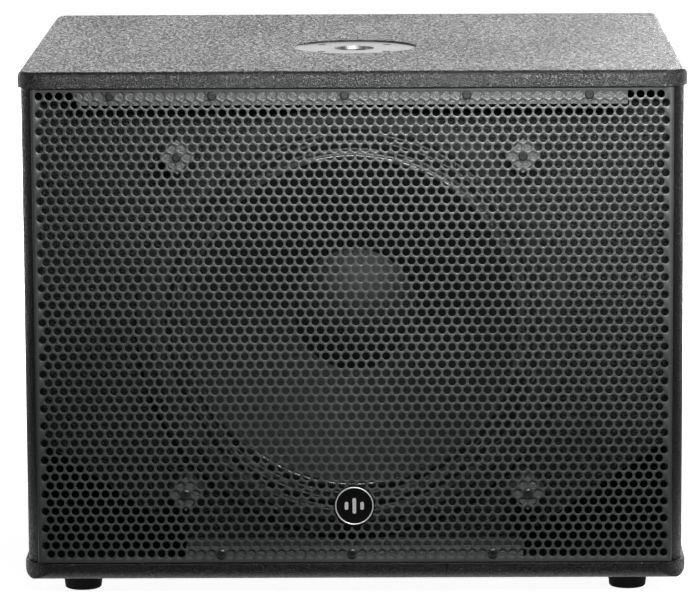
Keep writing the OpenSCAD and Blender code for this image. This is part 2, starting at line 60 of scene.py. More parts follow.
MM = 0.001


# ---------------------------------------------------------------- node helpers
class Nodes:
    """A small wrapper around one material's node tree."""

    def __init__(self, name):
        self.m = bpy.data.materials.new(name)
        self.m.use_nodes = True
        self.t = self.m.node_tree
        self.b = self.t.nodes["Principled BSDF"]
        self.co = self.t.nodes.new("ShaderNodeTexCoord").outputs["Object"]

    def new(self, kind, **settings):
        n = self.t.nodes.new(kind)
        for k, v in settings.items():
            if k in n.inputs:
                n.inputs[k].default_value = v
            else:
                setattr(n, k, v)
        return n

    def link(self, a, b):
        self.t.links.new(a, b)
        return b

    def scaled(self, scale=(1, 1, 1), rot=(0, 0, 0), loc=(0, 0, 0)):
        n = self.new("ShaderNodeMapping")
        n.inputs["Scale"].default_value = scale
        n.inputs["Rotation"].default_value = rot
        n.inputs["Location"].default_value = loc
        self.link(self.co, n.inputs["Vector"])
        return n.outputs["Vector"]

    def noise(self, scale, detail=3.0, rough=0.55, vec=None, distortion=0.0):
        n = self.new("ShaderNodeTexNoise", Scale=scale, Detail=detail, Roughness=rough, Distortion=distortion)
        self.link(vec if vec is not None else self.co, n.inputs["Vector"])
        return n.outputs["Fac"]

    def voronoi(self, scale, feature="F1", rand=1.0, vec=None, out="Distance", smooth=0.4):
        n = self.new("ShaderNodeTexVoronoi")
        n.feature = feature
        n.inputs["Scale"].default_value = scale
        n.inputs["Randomness"].default_value = rand
        if feature == "SMOOTH_F1":
            n.inputs["Smoothness"].default_value = smooth
        self.link(vec if vec is not None else self.co, n.inputs["Vector"])
        return n.outputs[out]

    def wave(self, scale, axis="X", vec=None, distortion=0.0, kind="BANDS", profile="SIN"):
        n = self.new("ShaderNodeTexWave", Scale=scale, Distortion=distortion)
        n.wave_type = kind
        n.wave_profile = profile
        if kind == "BANDS":
            n.bands_direction = axis
        else:
            n.rings_direction = axis
        self.link(vec if vec is not None else self.co, n.inputs["Vector"])
        return n.outputs["Fac"]

    def ramp(self, fac, stops, interp="LINEAR"):
        n = self.new("ShaderNodeValToRGB")
        n.color_ramp.interpolation = interp
        e = n.color_ramp.elements
        while len(e) > 1:
            e.remove(e[-1])
        for i, (p, c) in enumerate(stops):
            c = (c, c, c) if not hasattr(c, "__len__") else c
            if i == 0:
                e[0].position = p
                e[0].color = (*c, 1)
            else:
                e.new(p).color = (*c, 1)
        self.link(fac, n.inputs["Fac"])
        return n.outputs["Color"]

    def remap(self, fac, lo, hi, a=0.0, b=1.0):
        n = self.new("ShaderNodeMapRange")
        for k, v in zip(("From Min", "From Max", "To Min", "To Max"), (a, b, lo, hi)):
            n.inputs[k].default_value = v
        self.link(fac, n.inputs["Value"])
        return n.outputs["Result"]

    def math(self, op, a, b=None, clamp=False):
        n = self.new("ShaderNodeMath", operation=op)
        n.use_clamp = clamp
        for i, v in enumerate((a, b)):
            if v is None:
                continue
            if isinstance(v, (int, float)):
                n.inputs[i].default_value = v
            else:
                self.link(v, n.inputs[i])
        return n.outputs[0]

    def bump(self, height, distance, strength=1.0, over=None):
        n = self.new("ShaderNodeBump")
        n.inputs["Distance"].default_value = distance
        n.inputs["Strength"].default_value = strength
        self.link(height, n.inputs["Height"])
        if over is not None:
            self.link(over, n.inputs["Normal"])
        return n.outputs["Normal"]

    def set(self, **values):
        for k, v in values.items():
            k = {"base": "Base Color", "rough": "Roughness", "metal": "Metallic", "ior": "IOR",
                 "normal": "Normal", "coat": "Coat Weight", "coat_rough": "Coat Roughness",
                 "sheen": "Sheen Weight", "sheen_rough": "Sheen Roughness", "aniso": "Anisotropic",
                 "spec": "Specular IOR Level", "emit": "Emission Strength", "emit_color": "Emission Color",
                 "sss": "Subsurface Weight"}.get(k, k)
            s = self.b.inputs[k]
            if isinstance(v, (int, float)):
                s.default_value = v
            elif isinstance(v, tuple):
                s.default_value = (*v, 1) if len(v) == 3 else v
            else:
                self.link(v, s)
        return self.m


def edge_wear(n, lo, hi, amount=0.5, size=0.0015):
    """Mask of convex edges: 1 on worn edges."""
    g = n.new("ShaderNodeNewGeometry")
    return n.remap(g.outputs["Pointiness"], 0.0, amount, lo, hi)


# ---------------------------------------------------------------- materials
def textured_paint(name, base=0.02, rough=0.42, scale=430.0, depth=0.00042, seed=0.0, painted_glints=0.1, spec=0.5):
    """Hard sprayed cabinet coating: a pebbled skin of small rounded grains whose speckled tops get a lighter base
    colour as painted glints.
    """
    n = Nodes(name)
    v0 = n.scaled(loc=(seed, seed * 0.7, seed * 1.3))
    g = n.new("ShaderNodeNewGeometry")
    gs = n.new("ShaderNodeSeparateXYZ")
    n.link(g.outputs["Normal"], gs.inputs[0])
    rolled = n.remap(n.math("ABSOLUTE", gs.outputs[2]), 0.0, 1.0, 0.6, 0.8)
    flat = n.scaled(scale=(1.0, 0.4, 1.0), loc=(seed, seed * 0.7, seed * 1.3))
    mixv = n.new("ShaderNodeMix")
    mixv.data_type = "VECTOR"
    n.link(rolled, mixv.inputs[0])
    n.link(v0, mixv.inputs[4])
    n.link(flat, mixv.inputs[5])
    v = mixv.outputs[1]
    warp = n.noise(scale * 0.45, 2.0, 0.6, v)
    cells = n.voronoi(scale, "SMOOTH_F1", 1.0, v, smooth=0.35)
    fine = n.noise(scale * 1.7, 3.0, 0.7, v)
    grain = n.math("ADD", n.math("MULTIPLY", n.remap(cells, 1.0, 0.0, 0.0, 0.75), 0.9),
                   n.math("ADD", n.math("MULTIPLY", fine, 0.9), n.math("MULTIPLY", warp, 0.6)))
    broad = n.noise(9.0, 3.0, 0.6, v)
    speck = n.noise(scale * 0.83, 3.0, 0.75, v)
    clump = n.noise(scale * 0.38, 4.0, 0.8, v)
    both = n.math("ADD", n.math("MULTIPLY", speck, 0.5), n.math("MULTIPLY", clump, 0.5))
    t = painted_glints
    # Painted glints: the speckle's upper stops lift the base colour into light flecks that stand in for sparkle off the
    # grains.
    tint = n.ramp(both, [(0.40, (base * 0.6, base * 0.6, base * 0.62)), (0.52, (base, base, base * 1.02)),
                         (0.58, (base + t * 0.25,) * 3), (0.66, (base + t, base + t * 0.99, base + t * 0.97))])
    n.set(base=tint, rough=n.math("ADD", n.remap(broad, rough - 0.04, rough + 0.05, 0.3, 0.7),
                                  n.remap(both, 0.36, -0.18, 0.42, 0.58)),
          normal=n.bump(grain, depth), spec=spec)
    return n.m


def powder_coat(name, base=0.022, rough=0.4, scale=1500.0, depth=0.00006):
    n = Nodes(name)
    fine = n.noise(scale, 2.0, 0.6)
    peel = n.noise(scale * 0.28, 2.0, 0.5)
    broad = n.noise(14.0, 4.0, 0.6)
    tint = n.ramp(broad, [(0.3, (base * 0.82, base * 0.89, base * 0.87)), (0.7, (base * 1.14, base * 1.24, base * 1.21))])
    n.set(base=tint, rough=n.math("ADD", n.remap(broad, rough - 0.04, rough + 0.06, 0.3, 0.7), n.remap(fine, -0.04, 0.04, 0.3, 0.7)),
          normal=n.bump(n.math("ADD", fine, n.math("MULTIPLY", peel, 1.4)), depth))
    return n.m


def bare_wood(name):
    n = Nodes(name)
    v = n.scaled(scale=(18, 2.2, 60))
    grain = n.noise(3.2, 5.0, 0.6, v, distortion=0.6)
    plies = n.wave(180, "Z", None, 0.6)
    pore = n.noise(900, 2.0, 0.6, n.scaled(scale=(1, 0.12, 1)))
    tint = n.ramp(n.math("ADD", n.math("MULTIPLY", grain, 0.8), n.math("MULTIPLY", plies, 0.2)),
                  [(0.3, (0.26, 0.16, 0.08)), (0.55, (0.42, 0.29, 0.16)), (0.8, (0.55, 0.41, 0.25))])
    n.set(base=tint, rough=n.remap(pore, 0.55, 0.8, 0.3, 0.7), normal=n.bump(n.math("ADD", grain, pore), 0.0002))
    return n.m


def brushed(name, base, rough=0.3, along="round", centre=(0, 0), metal=1.0, depth=0.00003):
    """Metal with a fine directional brushing, round a centre or along X."""
    n = Nodes(name)
    if along == "round":
        v = n.scaled(loc=(-centre[0], -centre[1], 0))
        sep = n.new("ShaderNodeSeparateXYZ")
        n.link(v, sep.inputs[0])
        r2 = n.math("SQRT", n.math("ADD", n.math("POWER", sep.outputs[0], 2.0), n.math("POWER", sep.outputs[1], 2.0)))
        comb = n.new("ShaderNodeCombineXYZ")
        n.link(n.math("MULTIPLY", r2, 1.0), comb.inputs[0])
        n.link(sep.outputs[2], comb.inputs[2])
        lines = n.noise(4200, 3.0, 0.6, comb.outputs[0])
    else:
        lines = n.noise(2600, 3.0, 0.6, n.scaled(scale=(0.02, 1, 1)))
    blot = n.noise(60, 4.0, 0.6)
    scr = n.noise(340, 5.0, 0.75, distortion=1.2)
    c = base
    tint = n.ramp(n.math("ADD", n.math("MULTIPLY", lines, 0.5), n.math("MULTIPLY", blot, 0.5)),
                  [(0.3, tuple(x * 0.82 for x in c)), (0.6, c), (0.85, tuple(min(1, x * 1.08) for x in c))])
    n.set(base=tint, metal=metal, rough=n.math("ADD", n.remap(lines, rough - 0.07, rough + 0.09, 0.3, 0.7), n.remap(scr, -0.04, 0.08, 0.35, 0.75)),
          normal=n.bump(n.math("ADD", lines, n.math("MULTIPLY", scr, 0.5)), depth))
    return n.m


def cast_metal(name, base=0.03, rough=0.45, metal=0.0, scale=700, depth=0.00012):
    n = Nodes(name)
    pits = n.noise(scale, 3.0, 0.6)
    broad = n.noise(40, 4.0, 0.6)
    tint = n.ramp(broad, [(0.3, (base * 0.8,) * 3), (0.7, (base * 1.3,) * 3)])
    n.set(base=tint, metal=metal, rough=n.math("ADD", n.remap(broad, rough - 0.06, rough + 0.08, 0.3, 0.7), n.remap(pits, -0.05, 0.05, 0.3, 0.7)),
          normal=n.bump(pits, depth))
    return n.m


def moulded(name, base, rough=0.45, scale=1100, depth=0.00005, coat=0.0):
    """Moulded plastic with a fine spark-eroded grain."""
    n = Nodes(name)
    c = base if hasattr(base, "__len__") else (base, base, base)
    cells = n.voronoi(scale, "F1")
    fine = n.noise(scale * 1.3, 2.0, 0.6)
    broad = n.noise(30, 3.0, 0.6)
    tint = n.ramp(n.math("ADD", n.math("MULTIPLY", broad, 0.7), n.math("MULTIPLY", fine, 0.3)),
                  [(0.3, tuple(x * 0.85 for x in c)), (0.7, tuple(x * 1.15 for x in c))])
    n.set(base=tint, rough=n.math("ADD", n.remap(fine, rough - 0.06, rough + 0.06, 0.3, 0.7), n.remap(broad, -0.04, 0.05, 0.3, 0.7)),
          normal=n.bump(n.math("ADD", cells, fine), depth), coat=coat)
    return n.m


def rubber(name, base=0.012, rough=0.72):
    n = Nodes(name)
    fine = n.noise(1600, 3.0, 0.6)
    broad = n.noise(45, 4.0, 0.65)
    tint = n.ramp(broad, [(0.3, (base * 0.7,) * 3), (0.55, (base,) * 3), (0.8, (base * 2.2, base * 2.15, base * 2.0))])
    n.set(base=tint, rough=n.math("ADD", n.remap(broad, rough - 0.08, rough + 0.1, 0.3, 0.7), n.remap(fine, -0.04, 0.04)),
          normal=n.bump(n.math("ADD", fine, n.math("MULTIPLY", broad, 0.8)), 0.0001), spec=0.2)
    return n.m


def pulp(name, base=0.008, rough=0.62, cz=0.243):
    """Pressed paper pulp with short fibres."""
    n = Nodes(name)
    f1 = n.noise(700, 4.0, 0.7, n.scaled(scale=(1, 1, 0.3), rot=(0.3, 0.5, 0.2)), distortion=1.0)
    f2 = n.noise(700, 4.0, 0.7, n.scaled(scale=(0.3, 1, 1), rot=(0.9, 0.1, 0.7)), distortion=1.0)
    broad = n.noise(26, 4.0, 0.6)
    mix = n.math("ADD", n.math("MULTIPLY", f1, 0.5), n.math("MULTIPLY", f2, 0.5))
    tint = n.ramp(n.math("ADD", n.math("MULTIPLY", mix, 0.7), n.math("MULTIPLY", broad, 0.3)),
                  [(0.35, (base * 0.7,) * 3), (0.5, (base,) * 3), (0.68, (base * 2.0, base * 2.0, base * 2.05))])
    n.set(base=tint, rough=n.remap(mix, rough - 0.1, rough + 0.12, 0.35, 0.65), normal=n.bump(mix, 0.00022), spec=0.4)
    return n.m


def cloth(name, base, pitch=0.0007, rough=0.6, depth=0.00012, spec=0.5, coat=0.0, round_=True, cz=0.243):
    """Woven cloth: two crossed families of threads. round_ shifts them to the height of the driver's axis."""
    n = Nodes(name)
    c = base if hasattr(base, "__len__") else (base, base, base)
    v = n.scaled(loc=(0, 0, -cz) if round_ else (0, 0, 0))
    sep = n.new("ShaderNodeSeparateXYZ")
    n.link(v, sep.inputs[0])
    x, z = sep.outputs[0], sep.outputs[2]
    k = 2 * math.pi / pitch
    wx = n.math("SINE", n.math("MULTIPLY", n.math("ADD", x, z), k * 0.707))
    wz = n.math("SINE", n.math("MULTIPLY", n.math("SUBTRACT", x, z), k * 0.707))
    weave = n.math("MAXIMUM", wx, wz)
    fuzz = n.noise(1800, 3.0, 0.7)
    broad = n.noise(50, 3.0, 0.6)
    tint = n.ramp(n.math("ADD", n.math("MULTIPLY", n.remap(weave, 0, 1, -1, 1), 0.6), n.math("MULTIPLY", fuzz, 0.4)),
                  [(0.2, tuple(y * 0.6 for y in c)), (0.6, c), (0.9, tuple(min(1, y * 1.5) for y in c))])
    n.set(base=tint, rough=n.math("ADD", n.remap(fuzz, rough - 0.08, rough + 0.08, 0.3, 0.7), n.remap(broad, -0.05, 0.05, 0.3, 0.7)),
          normal=n.bump(n.math("ADD", weave, fuzz), depth), spec=spec, coat=coat, coat_rough=0.35)
    return n.m


def fibre(name, base=(0.72, 0.72, 0.69)):
    n = Nodes(name)
    a = n.noise(260, 6.0, 0.75, n.scaled(scale=(1, 0.25, 1), rot=(0.5, 0.2, 0.9)), distortion=2.0)
    b = n.noise(420, 6.0, 0.8, n.scaled(scale=(0.25, 1, 1), rot=(0.1, 0.9, 0.3)), distortion=2.0)
    m = n.math("MAXIMUM", a, b)
    n.set(base=n.ramp(m, [(0.35, tuple(x * 0.55 for x in base)), (0.55, base), (0.75, (0.9, 0.9, 0.87))]),
          rough=n.remap(m, 0.8, 1.0, 0.3, 0.7), normal=n.bump(m, 0.0012), sheen=0.5, sheen_rough=0.6)
    return n.m


def wound_copper(name, base=(0.62, 0.27, 0.11)):
    n = Nodes(name)
    turns = n.wave(420, "Y", None, 0.25)
    blot = n.noise(160, 3.0, 0.6)
    tint = n.ramp(n.math("ADD", n.math("MULTIPLY", turns, 0.6), n.math("MULTIPLY", blot, 0.4)),
                  [(0.2, tuple(x * 0.4 for x in base)), (0.6, base), (0.9, tuple(min(1, x * 1.3) for x in base))])
    n.set(base=tint, metal=0.85, rough=n.remap(blot, 0.25, 0.42, 0.3, 0.7), normal=n.bump(turns, 0.0003), coat=0.4)
    return n.m


def pcb(name):
    n = Nodes(name)
    tracks = n.voronoi(95, "DISTANCE_TO_EDGE", 0.35)
    pads = n.voronoi(160, "F1", 0.3)
    mask = n.math("MAXIMUM", n.math("LESS_THAN", tracks, 0.05), n.math("LESS_THAN", pads, 0.14))
    weave = n.noise(900, 2.0, 0.5)
    tint = n.ramp(mask, [(0.0, (0.006, 0.05, 0.02)), (0.5, (0.02, 0.14, 0.06)), (1.0, (0.10, 0.28, 0.12))])
    n.set(base=tint, rough=n.remap(weave, 0.25, 0.4, 0.3, 0.7), normal=n.bump(n.math("ADD", mask, n.math("MULTIPLY", weave, 0.3)), 0.00006))
    return n.m


def gloss(name, base, rough=0.16, coat=0.5, scale=500):
    """Glossy moulded or lacquered surface with faint waviness and rubbed patches."""
    n = Nodes(name)
    c = base if hasattr(base, "__len__") else (base, base, base)
    wav = n.noise(scale * 0.3, 2.0, 0.5)
    smear = n.noise(70, 5.0, 0.7, distortion=0.8)
    tint = n.ramp(smear, [(0.3, tuple(x * 0.85 for x in c)), (0.7, tuple(min(1, x * 1.2) for x in c))])
    n.set(base=tint, rough=n.math("ADD", n.remap(smear, rough - 0.05, rough + 0.1, 0.3, 0.7), n.remap(wav, -0.02, 0.02)),
          normal=n.bump(wav, 0.00004), coat=coat, coat_rough=0.08)
    return n.m


def ink(name, base=(0.75, 0.75, 0.73)):
    n = Nodes(name)
    f = n.noise(1500, 3.0, 0.7)
    n.set(base=n.ramp(f, [(0.3, tuple(x * 0.85 for x in base)), (0.7, base)]), rough=n.remap(f, 0.4, 0.6, 0.3, 0.7), normal=n.bump(f, 0.00001))
    return n.m


POLE_Y = (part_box("pole_plate")[0].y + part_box("pole_plate")[1].y) / 2
M = {
    "board": textured_paint("cabinet_paint", 0.0012, 0.34, 800, 0.00044, painted_glints=0.009, spec=0.4),
    # The top panel's copy of the cabinet paint has a lighter base and far brighter speckle than the other panels' copy:
    # painted sheen on the top.
    "board_painted_sheen": textured_paint("cabinet_paint_painted_sheen", 0.006, 0.23, 900, 0.00052, 1.7, painted_glints=0.15, spec=0.55),
    "board_in": textured_paint("baffle_paint", 0.004, 0.36, 560, 0.0006, 3.1, painted_glints=0.014, spec=0.35),
    "batten": textured_paint("batten_paint", 0.06, 0.42, 700, 0.0004, 5.3, painted_glints=0.05),
    "wood": bare_wood("plywood"),
    "wad": fibre("polyester_fibre"),
    "plate": brushed("bright_zinc", (0.60, 0.60, 0.61), 0.32, "round", (0, POLE_Y), depth=0.00008),
    "cup": cast_metal("dark_plating", 0.035, 0.5, 0.6, 500, 0.00006),
    "zinc": brushed("zinc_plating", (0.62, 0.62, 0.63), 0.34, "x"),
    "rubber": rubber("foot_rubber", 0.001, 0.9),
    "gasket": rubber("gasket_rubber", 0.018, 0.6),
    "grille": powder_coat("grille_coat", 0.045, 0.40),
    "black_steel": brushed("black_oxide", (0.05, 0.05, 0.053), 0.34, "x", metal=0.7),
    "badge_black": gloss("badge_black", 0.003, 0.14, 0.3),
    "badge_bright": brushed("badge_bright", (0.86, 0.86, 0.87), 0.34, "x", metal=0.55),
    "cast": cast_metal("frame_casting", 0.01, 0.42),
    "surround": cloth("surround_cloth", 0.006, 0.0008, 0.36, 0.00014, coat=0.6),
    "pulp": pulp("paper_pulp", 0.0025, 0.66),
    "cap": pulp("cap_paper", 0.005, 0.55),
    "glue": gloss("black_adhesive", 0.03, 0.16, 1.0, 300),
    "film": gloss("amber_film", (0.42, 0.2, 0.04), 0.25, 0.3),
    "copper": wound_copper("copper_winding"),
    "spider": cloth("spider_cloth", (0.42, 0.27, 0.07), 0.0009, 0.7, 0.0002),
    "ferrite": cast_metal("ferrite", 0.05, 0.5, 0.0, 260, 0.0002),
    "plastic": moulded("black_plastic", 0.018, 0.45),
    "handle": moulded("handle_plastic", 0.016, 0.5, 700, 0.0001),
    "anodised": cast_metal("black_anodising", 0.02, 0.36, 0.35, 1500, 0.00003),
    "amp_plate": powder_coat("amp_plate_coat", 0.018, 0.42),
    "pcb": pcb("circuit_board"),
    "sleeve": gloss("capacitor_sleeve", (0.02, 0.02, 0.1), 0.3, 0.2),
    "brass": brushed("turned_brass", (0.72, 0.52, 0.2), 0.25, "x"),
    "red": gloss("rocker_red", (0.4, 0.01, 0.012), 0.22, 0.3),
    "socket": moulded("socket_plastic", 0.022, 0.4, 900, 0.00005),
    "pot": brushed("pot_steel", (0.5, 0.5, 0.5), 0.35, "x"),
    "grey": moulded("button_grey", 0.22, 0.42),
    "led": gloss("lens_green", (0.02, 0.3, 0.06), 0.15, 0.5),
    "sheath": rubber("cable_sheath", 0.014, 0.5),
    "ink": ink("panel_print"),
}

NODE_MAT = {
    "board_painted_sheen": ["top_panel"], "board": ["bottom_panel", "left_panel", "right_panel", "rear_panel"],
    "board_in": ["front_baffle"], "batten": ["top_batten", "bottom_batten", "grille_standoffs"],
    "wood": ["left_port_board", "right_port_board", "cross_brace"],
    "plate": ["pole_plate"], "cup": ["pole_cup", "pole_screws"],
    "zinc": ["foot_screws", "tee_nuts", "front_plate", "pole_yoke", "amp_cover", "handle_screws"],
    "rubber": ["rubber_feet"], "gasket": ["driver_gasket"], "black_steel": ["grille_screws", "driver_bolts", "amp_screws"],
    "badge_black": ["badge_base"], "badge_bright": ["badge_ring", "badge_emblem"],
    "cast": ["driver_frame"], "pulp": ["cone"], "cap": ["dust_cap"], "film": ["coil_former"], "copper": ["voice_coil", "transformer"],
    "spider": ["spider"], "ferrite": ["magnet_ring"],
    "plastic": ["driver_terminals", "mains_inlet", "switch_housing", "level_knob", "crossover_knob", "button_switch"],
    "handle": ["left_handle", "right_handle"], "anodised": ["heatsink"], "amp_plate": ["amp_plate"],
    "pcb": ["amp_board"], "sleeve": ["capacitors"], "brass": ["board_standoffs"], "red": ["power_rocker"],
    "socket": ["input_sockets", "link_sockets"], "pot": ["potentiometers"], "grey": ["phase_button"],
    "led": ["indicator_leds"], "sheath": ["speaker_cable"],
    "grille": ["grille"], "surround": ["surround"], "wad": ["wadding"],
}
for key, names in NODE_MAT.items():
    for nm in names:
        o = nodes[nm]
        o.data.materials.clear()
        o.data.materials.append(M[key])


# ---------------------------------------------------------------- mesh helpers
def add_mesh(name, verts, faces, mat, body, smooth=35, fix=True):
    me = bpy.data.meshes.new(name)
    me.from_pydata([tuple(v) for v in verts], [], [tuple(f) for f in faces])
    if fix:
        bm = bmesh.new()
        bm.from_mesh(me)
        bmesh.ops.recalc_face_normals(bm, faces=bm.faces)
        bm.to_mesh(me)
        bm.free()
    me.polygons.foreach_set("use_smooth", [smooth > 0] * len(me.polygons))
    if 0 < smooth < 180:
        me.set_sharp_from_angle(angle=math.radians(smooth))
    me.update()
    o = bpy.data.objects.new(name, me)
    scene.collection.objects.link(o)
    o.data.materials.append(mat)
    if body:
        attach(o, body)
    return o


def lathe(name, profile, mat, body, centre=(0, 0, 0.243), steps=160, smooth=35, closed=True):
    """Closed profile of (radius, y) turned about the Y axis through centre."""
    n = len(profile)
    a = np.linspace(0, 2 * math.pi, steps, endpoint=False)
    verts = [(centre[0] + r * math.cos(t), centre[1] + y, centre[2] + r * math.sin(t)) for t in a for r, y in profile]
    faces = []
    for i in range(steps):
        j = (i + 1) % steps
        for k in range(n if closed else n - 1):
            l = (k + 1) % n
            faces.append((i * n + k, i * n + l, j * n + l, j * n + k))
    return add_mesh(name, verts, faces, mat, body, smooth)


# ---------------------------------------------------------------- grille
def build_grille():
    """The real perforation: 54 staggered rows of round holes on a 9 mm pitch, with pressed rims and folded sides."""
    lo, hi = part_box("grille")
    pitch, row = 9.0 * MM, 9.0 * MM * 0.8660254
    y0 = lo.y
    t = 1.3 * MM
    bend = 2.6 * MM
    xe = hi.x - bend
    zt, zb = hi.z, lo.z
    zl = 0.244
    seg = 12
    ang = [math.radians(30 * k) for k in range(seg)]
    rf, rb = 3.70 * MM, 3.50 * MM
    holes = {}
    rows = list(range(-27, 27))
    verts, faces = [], []
    for j in rows:
        z = zl - (j + 0.5) * row
        x_first = (-276.75 if j % 2 else -272.25) * MM
        for i in range(62):
            holes[(j, i)] = len(verts)
            x = x_first + i * pitch
            for r, y in ((rf, y0), (rb, y0 + t)):
                for a in ang:
                    verts.append((x + r * math.cos(a), y, z + r * math.sin(a)))
    border = {}

    def bp(x, z):
        k = (round(x, 6), round(z, 6))
        if k not in border:
            border[k] = len(verts)
            verts.append((x, y0, z))
            verts.append((x, y0 + t, z))
        return ("b", border[k])

    def h(j, i, deg):
        return ("h", holes[(j, i)] + (deg // 30) % 12)

    def hx(j, i):
        return verts[holes[(j, i)] + 3][0]

    def hz(j):
        return zl - (j + 0.5) * row

    def poly(pts):
        front = [p[1] for p in pts]
        back = [p[1] + 1 if p[0] == "b" else p[1] + 12 for p in pts]
        faces.append(front)
        faces.append(back[::-1])

    for j in rows:
        odd = j % 2 != 0
        for i in range(62):
            base = holes[(j, i)]
            for k in range(seg):
                l = (k + 1) % seg
                faces.append((base + k, base + l, base + 12 + l, base + 12 + k))
            if i + 1 < 62:
                poly([h(j, i, 330), h(j, i, 0), h(j, i, 30), h(j, i + 1, 150), h(j, i + 1, 180), h(j, i + 1, 210)])
            if j + 1 <= rows[-1]:
                dl = i - 1 if odd else i      # the row below, half a pitch to the left
                dr = i if odd else i + 1      # and to the right
                if 0 <= dl < 62:
                    poly([h(j, i, 210), h(j, i, 240), h(j, i, 270), h(j + 1, dl, 30), h(j + 1, dl, 60), h(j + 1, dl, 90)])
                if 0 <= dr < 62:
                    poly([h(j, i, 270), h(j, i, 300), h(j, i, 330), h(j + 1, dr, 90), h(j + 1, dr, 120), h(j + 1, dr, 150)])
                if 0 <= dl < 62 and 0 <= dr < 62:
                    poly([h(j, i, 270), h(j + 1, dl, 30), h(j + 1, dr, 150)])
            if j - 1 >= rows[0]:
                ul = i - 1 if odd else i
                ur = i if odd else i + 1
                if 0 <= ul < 62 and 0 <= ur < 62:
                    poly([h(j, i, 90), h(j - 1, ul, 330), h(j - 1, ur, 210)])
    # top and bottom margins
    for j, zz, up in ((rows[0], zt, True), (rows[-1], zb, False)):
        for i in range(61):
            a, b = (90, 60), (30, 150)
            if up:
                poly([h(j, i, 90), h(j, i, 60), h(j, i, 30), h(j, i + 1, 150), h(j, i + 1, 120), h(j, i + 1, 90),
                      bp(hx(j, i + 1), zz), bp(hx(j, i), zz)])
            else:
                poly([h(j, i, 270), h(j, i, 300), h(j, i, 330), h(j, i + 1, 210), h(j, i + 1, 240), h(j, i + 1, 270),
                      bp(hx(j, i + 1), zz), bp(hx(j, i), zz)])
    # side margins: between rows that reach furthest out
    for side, par in ((-1, 1), (1, 0)):
        i = 0 if side < 0 else 61
        f = (lambda d: d % 360) if side < 0 else (lambda d: (180 - d) % 360)
        out = [j for j in rows if (j % 2 != 0) == (par == 1)]
        for a, b in zip(out[:-1], out[1:]):
            poly([bp(side * xe, hz(a)), h(a, i, f(180)), h(a, i, f(210)), h(a, i, f(240)), h(a, i, f(270)),
                  h(a + 1, i, f(150)), h(a + 1, i, f(180)), h(a + 1, i, f(210)),
                  h(b, i, f(90)), h(b, i, f(120)), h(b, i, f(150)), h(b, i, f(180)), bp(side * xe, hz(b))])
        for j, zz, up in ((rows[0], zt, 1), (rows[-1], zb, -1)):
            g = (lambda d: f(d)) if up > 0 else (lambda d: f(-d))
            if (j % 2 != 0) == (par == 1):
                poly([bp(side * xe, hz(j)), h(j, i, g(180)), h(j, i, g(150)), h(j, i, g(120)), h(j, i, g(90)),
                      bp(hx(j, i), zz), bp(side * xe, zz)])
            else:
                k = j + 1 if up > 0 else j - 1
                poly([bp(side * xe, hz(k)), h(k, i, g(180)), h(k, i, g(150)), h(k, i, g(120)), h(k, i, g(90)),
                      h(j, i, g(210)), h(j, i, g(180)), h(j, i, g(150)), h(j, i, g(120)), h(j, i, g(90)),
                      bp(hx(j, i), zz), bp(side * xe, zz)])
    # sheet edges along the top and bottom
    for zz in (zt, zb):
        xs = sorted((k[0], v) for k, v in border.items() if abs(k[1] - zz) < 1e-6)
        for (_, p), (_, q) in zip(xs[:-1], xs[1:]):
            faces.append((p, q, q + 1, p + 1))
    # folded side returns
    depth = hi.y - lo.y
    for s in (-1, 1):
        line = sorted(((k[1], v) for k, v in border.items() if abs(k[0] - round(s * xe, 6)) < 1e-6))
        prof = [(xe + bend * math.sin(a), y0 + bend - bend * math.cos(a)) for a in np.radians([22.5, 45, 67.5, 90])]
        prof += [(xe + bend, y0 + depth), (xe + bend - t, y0 + depth), (xe + bend - t, y0 + bend)]
        prof += [(xe + (bend - t) * 0.6, y0 + t + (bend - t) * 0.3)]
        base = len(verts)
        for z, _ in line:
            for x, y in prof:
                verts.append((s * x, y, z))
        n = len(prof)
        for a in range(len(line) - 1):
            p0, p1 = line[a][1], line[a + 1][1]
            c0, c1 = base + a * n, base + (a + 1) * n
            faces.append((p0, p1, c1, c0))
            for k in range(n - 1):
                faces.append((c0 + k, c1 + k, c1 + k + 1, c0 + k + 1))
            faces.append((c0 + n - 1, c1 + n - 1, p1 + 1, p0 + 1))
        for a in (0, len(line) - 1):
            c, p = base + a * n, line[a][1]
            faces.append([p] + [c + k for k in range(n)] + [p + 1])
    o = add_mesh("grille_sheet", verts, faces, M["grille"], "cabinet", smooth=180)
    me = o.data
    nv, nl, npol = len(me.vertices), len(me.loops), len(me.polygons)
    vi, ls, lt = np.empty(nl, int), np.empty(npol, int), np.empty(npol, int)
    me.loops.foreach_get("vertex_index", vi)
    me.polygons.foreach_get("loop_start", ls)
    me.polygons.foreach_get("loop_total", lt)
    pn = np.empty(npol * 3)
    me.polygons.foreach_get("normal", pn)
    pn = pn.reshape(-1, 3)
    co = np.empty(nv * 3)
    me.vertices.foreach_get("co", co)
    co = co.reshape(-1, 3)
    pol = np.empty(nl, int)
    for k in range(npol):
        pol[ls[k]:ls[k] + lt[k]] = k
    nrm = pn[pol].copy()
    nh = len(holes) * 24
    hole = vi < nh
    aa = np.radians(30.0 * (vi % 12))
    inward = np.stack([-np.cos(aa), np.zeros(nl), -np.sin(aa)], 1)
    rim = hole & ((vi % 24) < 12)
    face_front = nrm[:, 1] < -0.98
    wall = np.abs(nrm[:, 1]) < 0.9
    for sel, tilt in ((rim & face_front, math.radians(20)), (rim & wall, math.radians(45))):
        rolled = inward * math.sin(tilt) + np.array([0, -1, 0]) * math.cos(tilt)
        nrm[sel] = rolled[sel]
    sel = hole & ~rim & wall
    nrm[sel] = inward[sel]
    c = co[vi]
    side = np.sign(c[:, 0])
    d = np.stack([c[:, 0] - side * xe, c[:, 1] - (y0 + bend), np.zeros(nl)], 1)
    rad = np.hypot(d[:, 0], d[:, 1])
